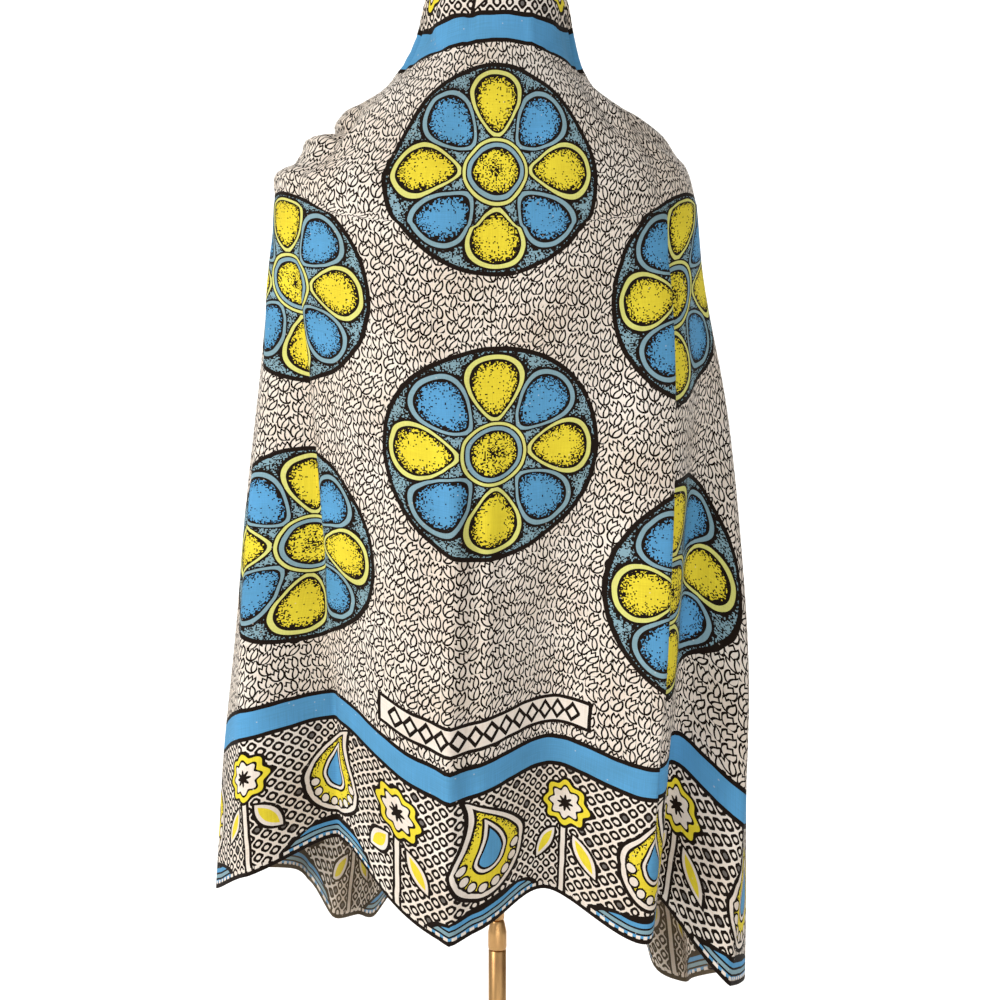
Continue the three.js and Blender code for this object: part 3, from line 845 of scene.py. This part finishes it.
def field_print(sheet, tree, u, v, grain):
    """What is printed inside the border: buds all over, medallions, the panel and the band's inner line."""
    sheet.lay(INK, bud_lines(tree, u, v).below(BUD_LINE / 2))
    medallions(sheet, tree, u, v, grain)
    panel(sheet, u, v)
    depth = (EDGE - u.abs()).min(v.min(CLOTH_HEIGHT - v))
    sheet.lay(INK, depth.below(BAND[1] + BAND_LINE / 2))


def cloth_material(name, border_side, wrong):
    """Matte printed cotton. The wrong side shows the same print, paler and browner."""
    material, tree, shader = new_material(name, roughness=0.88)
    shader.inputs["Sheen Weight"].default_value = 0.03
    shader.inputs["Sheen Roughness"].default_value = 0.6
    shader.inputs["Specular IOR Level"].default_value = 0.08
    uv = tree.nodes.new("ShaderNodeUVMap")
    uv.uv_map = "cloth"
    parts = tree.nodes.new("ShaderNodeSeparateXYZ")
    tree.links.new(uv.outputs[0], parts.inputs[0])
    u, v = Field(tree, parts.outputs[0]) * 1000, Field(tree, parts.outputs[1]) * 1000
    waver = noise_of(tree, u, v, 0.04, 0.04, 1.0)
    pu, pv = u + waver.scaled(2.4, -1.2), v + waver.scaled(2.0, -1.0)
    grain, speck, _ = random_of(tree, (u / GRAIN).floor(), (v / GRAIN).floor(), 1.0)

    sheet = Print(tree, CREAM)
    if border_side:
        run = border(sheet, tree, pu, pv, grain)
        plain_depth = (EDGE - u.abs()).min(v.min(CLOTH_HEIGHT - v))
        sheet.lay(INK, plain_depth.below(EDGE_LINE))
        dashes = run.centred(DASH_PITCH).abs().below(DASH_HALF)
        sheet.lay(CREAM, dashes * (plain_depth - DASH_DEPTH).abs().below(DASH_HIGH))
    else:
        field_print(sheet, tree, pu, pv, grain)
    sheet.lay(CREAM, speck.above(0.9985) * 0.4)
    warp = noise_of(tree, u, v, 1.3, 0.03, 1.0)
    weft = noise_of(tree, u, v, 0.03, 1.3, 1.0)
    cloud = noise_of(tree, u, v, 0.012, 0.012, 2.0)
    uneven = (warp + weft).scaled(0.5, -0.34) + cloud.scaled(0.9, -0.34)
    sheet.lay(UNEVEN, uneven.clamp(), "MULTIPLY")
    if wrong:
        sheet.lay(WRONG_SIDE, cloud.scaled(0.2, 0.05))
    tree.links.new(sheet.color, shader.inputs["Base Color"])

    turns = 2 * math.pi / THREAD_PITCH
    threads = (u * turns).sin() * (v * turns).sin()
    bump_height(tree, shader, threads * 0.03 + (warp + weft) * 0.16, strength=0.5, distance=0.0005)
    return material


def paint(tree, shader, ground, *layers):
    """A material's colour: its ground, then each other colour over it by its mask."""
    sheet = Print(tree, srgb(ground))
    for color, mask in layers:
        sheet.lay(srgb(color), mask)
    tree.links.new(sheet.color, shader.inputs["Base Color"])


LINEN_RADIUS, LINEN_THREADS = 150, 4.2    # the weave's scale round the form, and its turns a millimetre


def linen_material():
    """Natural linen jersey over the form: a visible weave with slubs."""
    material, tree, shader = new_material("form_linen", 0.92)
    shader.inputs["Sheen Weight"].default_value = 0.2
    x, y, z = object_place(tree)
    turn = y.math("ARCTAN2", x) * LINEN_RADIUS
    slub = noise_of(tree, turn, z, 0.9, 0.05, 3.0)
    weft = noise_of(tree, turn, z, 0.05, 0.9, 3.0)
    paint(tree, shader, "DDD2BE", ("BFAE92", ((slub + weft - 0.75) * 1.6).clamp()))
    weave = (turn * LINEN_THREADS).sin() * (z * LINEN_THREADS).sin()
    bump_height(tree, shader, weave * 0.2 + slub * 0.6 + weft * 0.6, strength=0.6, distance=0.0006)
    return material


def wood_material():
    """Turned beech with a satin varnish."""
    material, tree, shader = new_material("varnished_wood", 0.38)
    shader.inputs["Coat Weight"].default_value = 0.35
    shader.inputs["Coat Roughness"].default_value = 0.18
    x, y, z = object_place(tree)
    grain = noise_of(tree, x, y + z * 0.2, 0.035, 0.35, 5.0)
    fleck = noise_of(tree, x, y, 0.25, 2.2, 2.0)
    paint(tree, shader, "B98A58",
          ("7E5230", ((grain - 0.42) * 2.6).clamp()), ("5F3B21", (fleck - 0.62).clamp() * 1.6))
    bump_height(tree, shader, grain * 0.5 + fleck * 0.2, strength=0.15, distance=0.0004)
    return material


def brass_material():
    """Satin brass with a fine turned finish and a little handling wear."""
    material, tree, shader = new_material("satin_brass", 0.3, metallic=1.0)
    x, y, z = object_place(tree)
    cloud = noise_of(tree, x + z * 0.3, y + z, 0.02, 0.02, 4.0)
    lines = noise_of(tree, x + y, z, 0.05, 2.4, 2.0)
    paint(tree, shader, "C49A66", ("9A6B4C", ((cloud - 0.45) * 1.8).clamp()))
    rough = 0.24 + cloud * 0.16 + lines * 0.08
    tree.links.new(rough.socket, shader.inputs["Roughness"])
    bump_height(tree, shader, lines * 0.4, strength=0.12, distance=0.0003)
    return material


def thread_material():
    """Pale sewing cotton, a little mottled."""
    material, tree, shader = new_material("hem_thread", 0.75)
    x, y, z = object_place(tree)
    twist = noise_of(tree, x + y, z, 1.4, 1.4, 2.0)
    paint(tree, shader, "E7DFD2", ("BDB09A", (twist - 0.35).clamp()))
    return material


# --- The dress form and its stand -----------------------------------------------------------------

FORM_COLUMNS = "z half back front"
FORM_SECTIONS = [
    (790, 150, 88, 84),
    (796, 157, 93, 89),
    (860, 168, 103, 94),
    (930, 160, 98, 92),
    (1010, 136, 82, 84),
    (1070, 127, 76, 82),
    (1130, 137, 82, 92),
    (1190, 156, 92, 106),
    (1240, 170, 100, 108),
    (1290, 180, 102, 98),
    (1330, 166, 98, 84),
    (1362, 136, 90, 72),
    (1386, 106, 80, 64),
    (1404, 80, 70, 58),
    (1424, 60, 60, 53),
    (1450, 51, 54, 49),
    (1532, 49, 51, 47),
]
FORM_SIDES, FORM_RINGS = 120, 130
FORM_SEAMS = (0, 55, 125, 180, 235, 305)      # angles of the cover's seams round the form
SEAM_DEEP, SEAM_WIDE = 1.2, 2.2
form = columns_of(FORM_COLUMNS, FORM_SECTIONS)


def ring_faces(rings, sides):
    """Quads of a stack of closed rings, each with so many sides."""
    faces = []
    for ring in range(rings - 1):
        for side in range(sides):
            a, b = ring * sides + side, ring * sides + (side + 1) % sides
            faces.append((a, b, b + sides, a + sides))
    return faces


def form_cover(material):
    """The padded cover over the form's sections, drawn in a little at its seams."""
    bottom, top = FORM_SECTIONS[0][0], FORM_SECTIONS[-1][0]
    heights = np.linspace(bottom, top, FORM_RINGS)
    angles = np.arange(FORM_SIDES) * 2 * math.pi / FORM_SIDES
    grid_angle, grid_z = np.meshgrid(angles, heights)
    half, back, front = [along(form, "z", grid_z, name) for name in ("half", "back", "front")]
    deep = np.where(np.sin(grid_angle) < 0, back, front)
    degrees = np.degrees(grid_angle)
    pull = np.zeros_like(grid_z)
    for seam in FORM_SEAMS:
        off = (degrees - seam + 180) % 360 - 180
        pull += SEAM_DEEP * bell(np.radians(off) * half, SEAM_WIDE)
    half, deep = half - pull, deep - pull
    points = np.stack([half * np.cos(grid_angle), deep * np.sin(grid_angle), grid_z], axis=-1).reshape(-1, 3)
    points = np.concatenate([points, [[0, 0, bottom], [0, 0, top]]]) * MM
    count = FORM_SIDES * FORM_RINGS
    faces = ring_faces(FORM_RINGS, FORM_SIDES)
    last = count - FORM_SIDES
    for side in range(FORM_SIDES):
        ahead = (side + 1) % FORM_SIDES
        faces.append((count, ahead, side))
        faces.append((count + 1, last + side, last + ahead))
    return mesh_object("form_cover", points, faces, [material])


def turned_piece(name, profile, z, material, sides=96):
    """A turned piece from radius and height pairs, with its corners rounded a little."""
    points = []
    outline = rounded(profile)
    for radius, height in outline:
        for side in range(sides):
            angle = 2 * math.pi * side / sides
            points.append((radius * math.cos(angle), radius * math.sin(angle), z + height))
    faces = ring_faces(len(outline), sides)
    faces.append(tuple(range(sides))[::-1])
    last = (len(outline) - 1) * sides
    faces.append(tuple(last + side for side in range(sides)))
    obj = mesh_object(name, np.array(points) * MM, faces, [material])
    obj.data.polygons[-1].use_smooth = obj.data.polygons[-2].use_smooth = False
    return obj


def rounded(profile, most=1.2):
    """The profile without its points on the axis, its corners cut by two points each."""
    outline = []
    for i, (radius, height) in enumerate(profile[1:-1], start=1):
        here = Vector((radius, height))
        before, after = Vector(profile[i - 1]), Vector(profile[i + 1])
        for other in (before, after):
            way = other - here
            outline.append(tuple(here + way.normalized() * min(most, way.length / 3)))
    return outline


# The stand's sizes, as in the solids, with a gap between its pieces.
GAP = 0.3
CAP_RADIUS, CAP_HEIGHT = 50, 20
PLATE_DIAMETER, PLATE_HEIGHT = 110, 14
POLE_DIAMETER, POST_DIAMETER = 16, 20
COLLAR_DIAMETER, COLLAR_TOP, COLLAR_LENGTH = 21, 490, 34
BASE_DIAMETER, BASE_EDGE, BASE_HEIGHT = 400, 8, 22
HUB_DIAMETER, HUB_HEIGHT = 52, 46


def stand_pieces(wood, brass):
    """Each piece of the stand and the form's wooden ends, with the node it stands for."""
    plate_low = FORM_SECTIONS[0][0] - GAP - PLATE_HEIGHT
    collar_low = COLLAR_TOP - COLLAR_LENGTH
    hub_top = BASE_HEIGHT + GAP + HUB_HEIGHT
    plate, collar, base, hub = PLATE_DIAMETER / 2, COLLAR_DIAMETER / 2, BASE_DIAMETER / 2, HUB_DIAMETER / 2
    pole, post, cap = POLE_DIAMETER / 2, POST_DIAMETER / 2, CAP_RADIUS
    pole_long = plate_low - GAP - COLLAR_TOP - GAP
    post_long = collar_low - GAP - hub_top - GAP
    rows = [
        ("neck_cap", "form_neck_cap", wood, "wood", FORM_SECTIONS[-1][0] + GAP, [
            (0, 0), (cap - 3, 0), (cap, 3), (cap - 1, 9), (cap * 0.8, CAP_HEIGHT - 5),
            (cap * 0.45, CAP_HEIGHT - 1), (0, CAP_HEIGHT)]),
        ("under_plate", "form_plate", wood, "wood", plate_low, [
            (0, 0), (plate - 6, 0), (plate, 5), (plate, PLATE_HEIGHT), (0, PLATE_HEIGHT)]),
        ("pole", "stand_pole", brass, "brass", COLLAR_TOP + GAP, [
            (0, 0), (pole, 0), (pole, pole_long), (0, pole_long)]),
        ("pole_clamp", "stand_collar", brass, "brass", collar_low, [
            (0, 0), (collar - 0.5, 0), (collar, 2), (collar, COLLAR_LENGTH - 14),
            (collar - 2.5, COLLAR_LENGTH - 2), (collar - 3.5, COLLAR_LENGTH), (0, COLLAR_LENGTH)]),
        ("post", "stand_post", brass, "brass", hub_top + GAP, [
            (0, 0), (post, 0), (post, post_long), (0, post_long)]),
        ("hub", "stand_hub", brass, "brass", BASE_HEIGHT + GAP, [
            (0, 0), (hub, 0), (hub, 6), (hub - 6, 12), (post + 7, 24), (post + 4, HUB_HEIGHT - 3),
            (post + 2, HUB_HEIGHT), (0, HUB_HEIGHT)]),
        ("base_plate", "stand_base", brass, "brass", 0, [
            (0, 0), (base - 3, 0), (base, 3), (base, BASE_EDGE), (base - 6, BASE_EDGE + 4),
            (base * 0.6, BASE_HEIGHT - 4), (hub + 8, BASE_HEIGHT), (0, BASE_HEIGHT)]),
    ]
    for name, node, material, slot, z, profile in rows:
        piece = turned_piece(name, profile, z, material)
        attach(piece, "root")
        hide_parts(node)


# --- Pieces ---------------------------------------------------------------------------------------

cottons = [cloth_material("cotton" + place + side, place == "_border", side == "_wrong_side")
           for side in ("_face", "_wrong_side") for place in ("_field", "_border")]
thread = thread_material()
wood = wood_material()
brass = brass_material()
linen = linen_material()

cloth = cloth_sheet(cottons)
stitches = [hem_stitches("stitches_left", -1, thread), hem_stitches("stitches_right", 1, thread)]
for piece in [cloth, *stitches]:
    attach(piece, "root")
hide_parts("cloth_collar", "cloth_back", "cloth_left_front", "cloth_right_front")

cover = form_cover(linen)
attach(cover, "root")
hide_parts("form_torso")
stand_pieces(wood, brass)

# --- Stage, light and camera ----------------------------------------------------------------------

CAMERA_PLACE = (3, -1750, 1150)
CAMERA_DROP, CAMERA_RUN = 170, 1600      # it looks down by this much over this run
FRAME_PIXELS = 1000
SENSOR = 36

# The backdrop, in metres.
PAPER_HALF, PAPER_FRONT, PAPER_BACK, PAPER_BEND, PAPER_TOP, PAPER_BELOW = 9.0, -7.0, 3.6, 1.6, 7.0, 0.0005

# The lights, in metres and watts. The low one reaches the inside of the cloth under its hem.
LIGHTS = [
    ("key", (-2.7, -1.9, 2.3), (0, 0, 0.95), (1.1, 1.1), 80, (1.0, 0.98, 0.95)),
    ("fill", (2.2, -2.4, 1.6), (0, 0, 0.9), (2.0, 2.0), 11, (0.97, 0.98, 1.0)),
    ("front", (0.9, 2.6, 2.5), (0, 0, 0.9), (1.8, 1.4), 40, (1, 1, 1)),
    ("low", (0.2, -2.6, 0.3), (0, 0.1, 0.55), (1.6, 0.5), 12, (1.0, 0.97, 0.94)),
    ("wall_wash", (0, 1.7, 3.4), (0, 3.4, 0.6), (3.4, 0.8), 70, (1, 1, 1)),
]
WORLD_LIGHT = 0.4


def backdrop():
    """A floor that curves up into a wall, well behind the object and round its sides."""
    material, tree, shader = new_material("backdrop_paper", 0.95)
    x, y, z = object_place(tree, 1)
    paint(tree, shader, "FBFAF9", ("F7F6F4", noise_of(tree, x, y, 0.6, 0.6, 0.0)))
    flat_end, steps = PAPER_BACK - PAPER_BEND, 16
    outline = [(PAPER_FRONT, 0.0), (flat_end, 0.0)]
    for step in range(1, steps + 1):
        angle = step / steps * math.pi / 2
        outline.append((flat_end + PAPER_BEND * math.sin(angle), PAPER_BEND * (1 - math.cos(angle))))
    outline.append((PAPER_BACK, PAPER_TOP))
    points = [(side, y_place, z_place - PAPER_BELOW)
              for y_place, z_place in outline for side in (-PAPER_HALF, PAPER_HALF)]
    faces = [(2 * i, 2 * i + 1, 2 * i + 3, 2 * i + 2) for i in range(len(outline) - 1)]
    mesh_object("backdrop", points, faces, [material])


def area_light(name, place, target, size, power, color):
    data = bpy.data.lights.new(name, "AREA")
    data.shape = "RECTANGLE"
    data.size, data.size_y = size
    data.energy, data.color = power, color
    light = bpy.data.objects.new(name, data)
    light.location = place
    light.rotation_euler = (Vector(target) - Vector(place)).to_track_quat("-Z", "Y").to_euler()
    bpy.context.scene.collection.objects.link(light)


def camera():
    data = bpy.data.cameras.new("camera")
    data.sensor_fit = "HORIZONTAL"
    data.sensor_width = SENSOR
    data.lens = SENSOR * math.hypot(CAMERA_DROP, CAMERA_RUN) / FRAME_PIXELS
    obj = bpy.data.objects.new("camera", data)
    obj.location = Vector(CAMERA_PLACE) * MM
    obj.rotation_euler = (math.pi / 2 - math.atan2(CAMERA_DROP, CAMERA_RUN), 0, 0)
    bpy.context.scene.collection.objects.link(obj)
    bpy.context.scene.camera = obj


backdrop()
for row in LIGHTS:
    area_light(*row)
world = bpy.data.worlds.new("studio")
world.use_nodes = True
world.node_tree.nodes["Background"].inputs["Color"].default_value = (1, 1, 1, 1)
world.node_tree.nodes["Background"].inputs["Strength"].default_value = WORLD_LIGHT
bpy.context.scene.world = world
bpy.context.scene.view_settings.view_transform = "Standard"
camera()
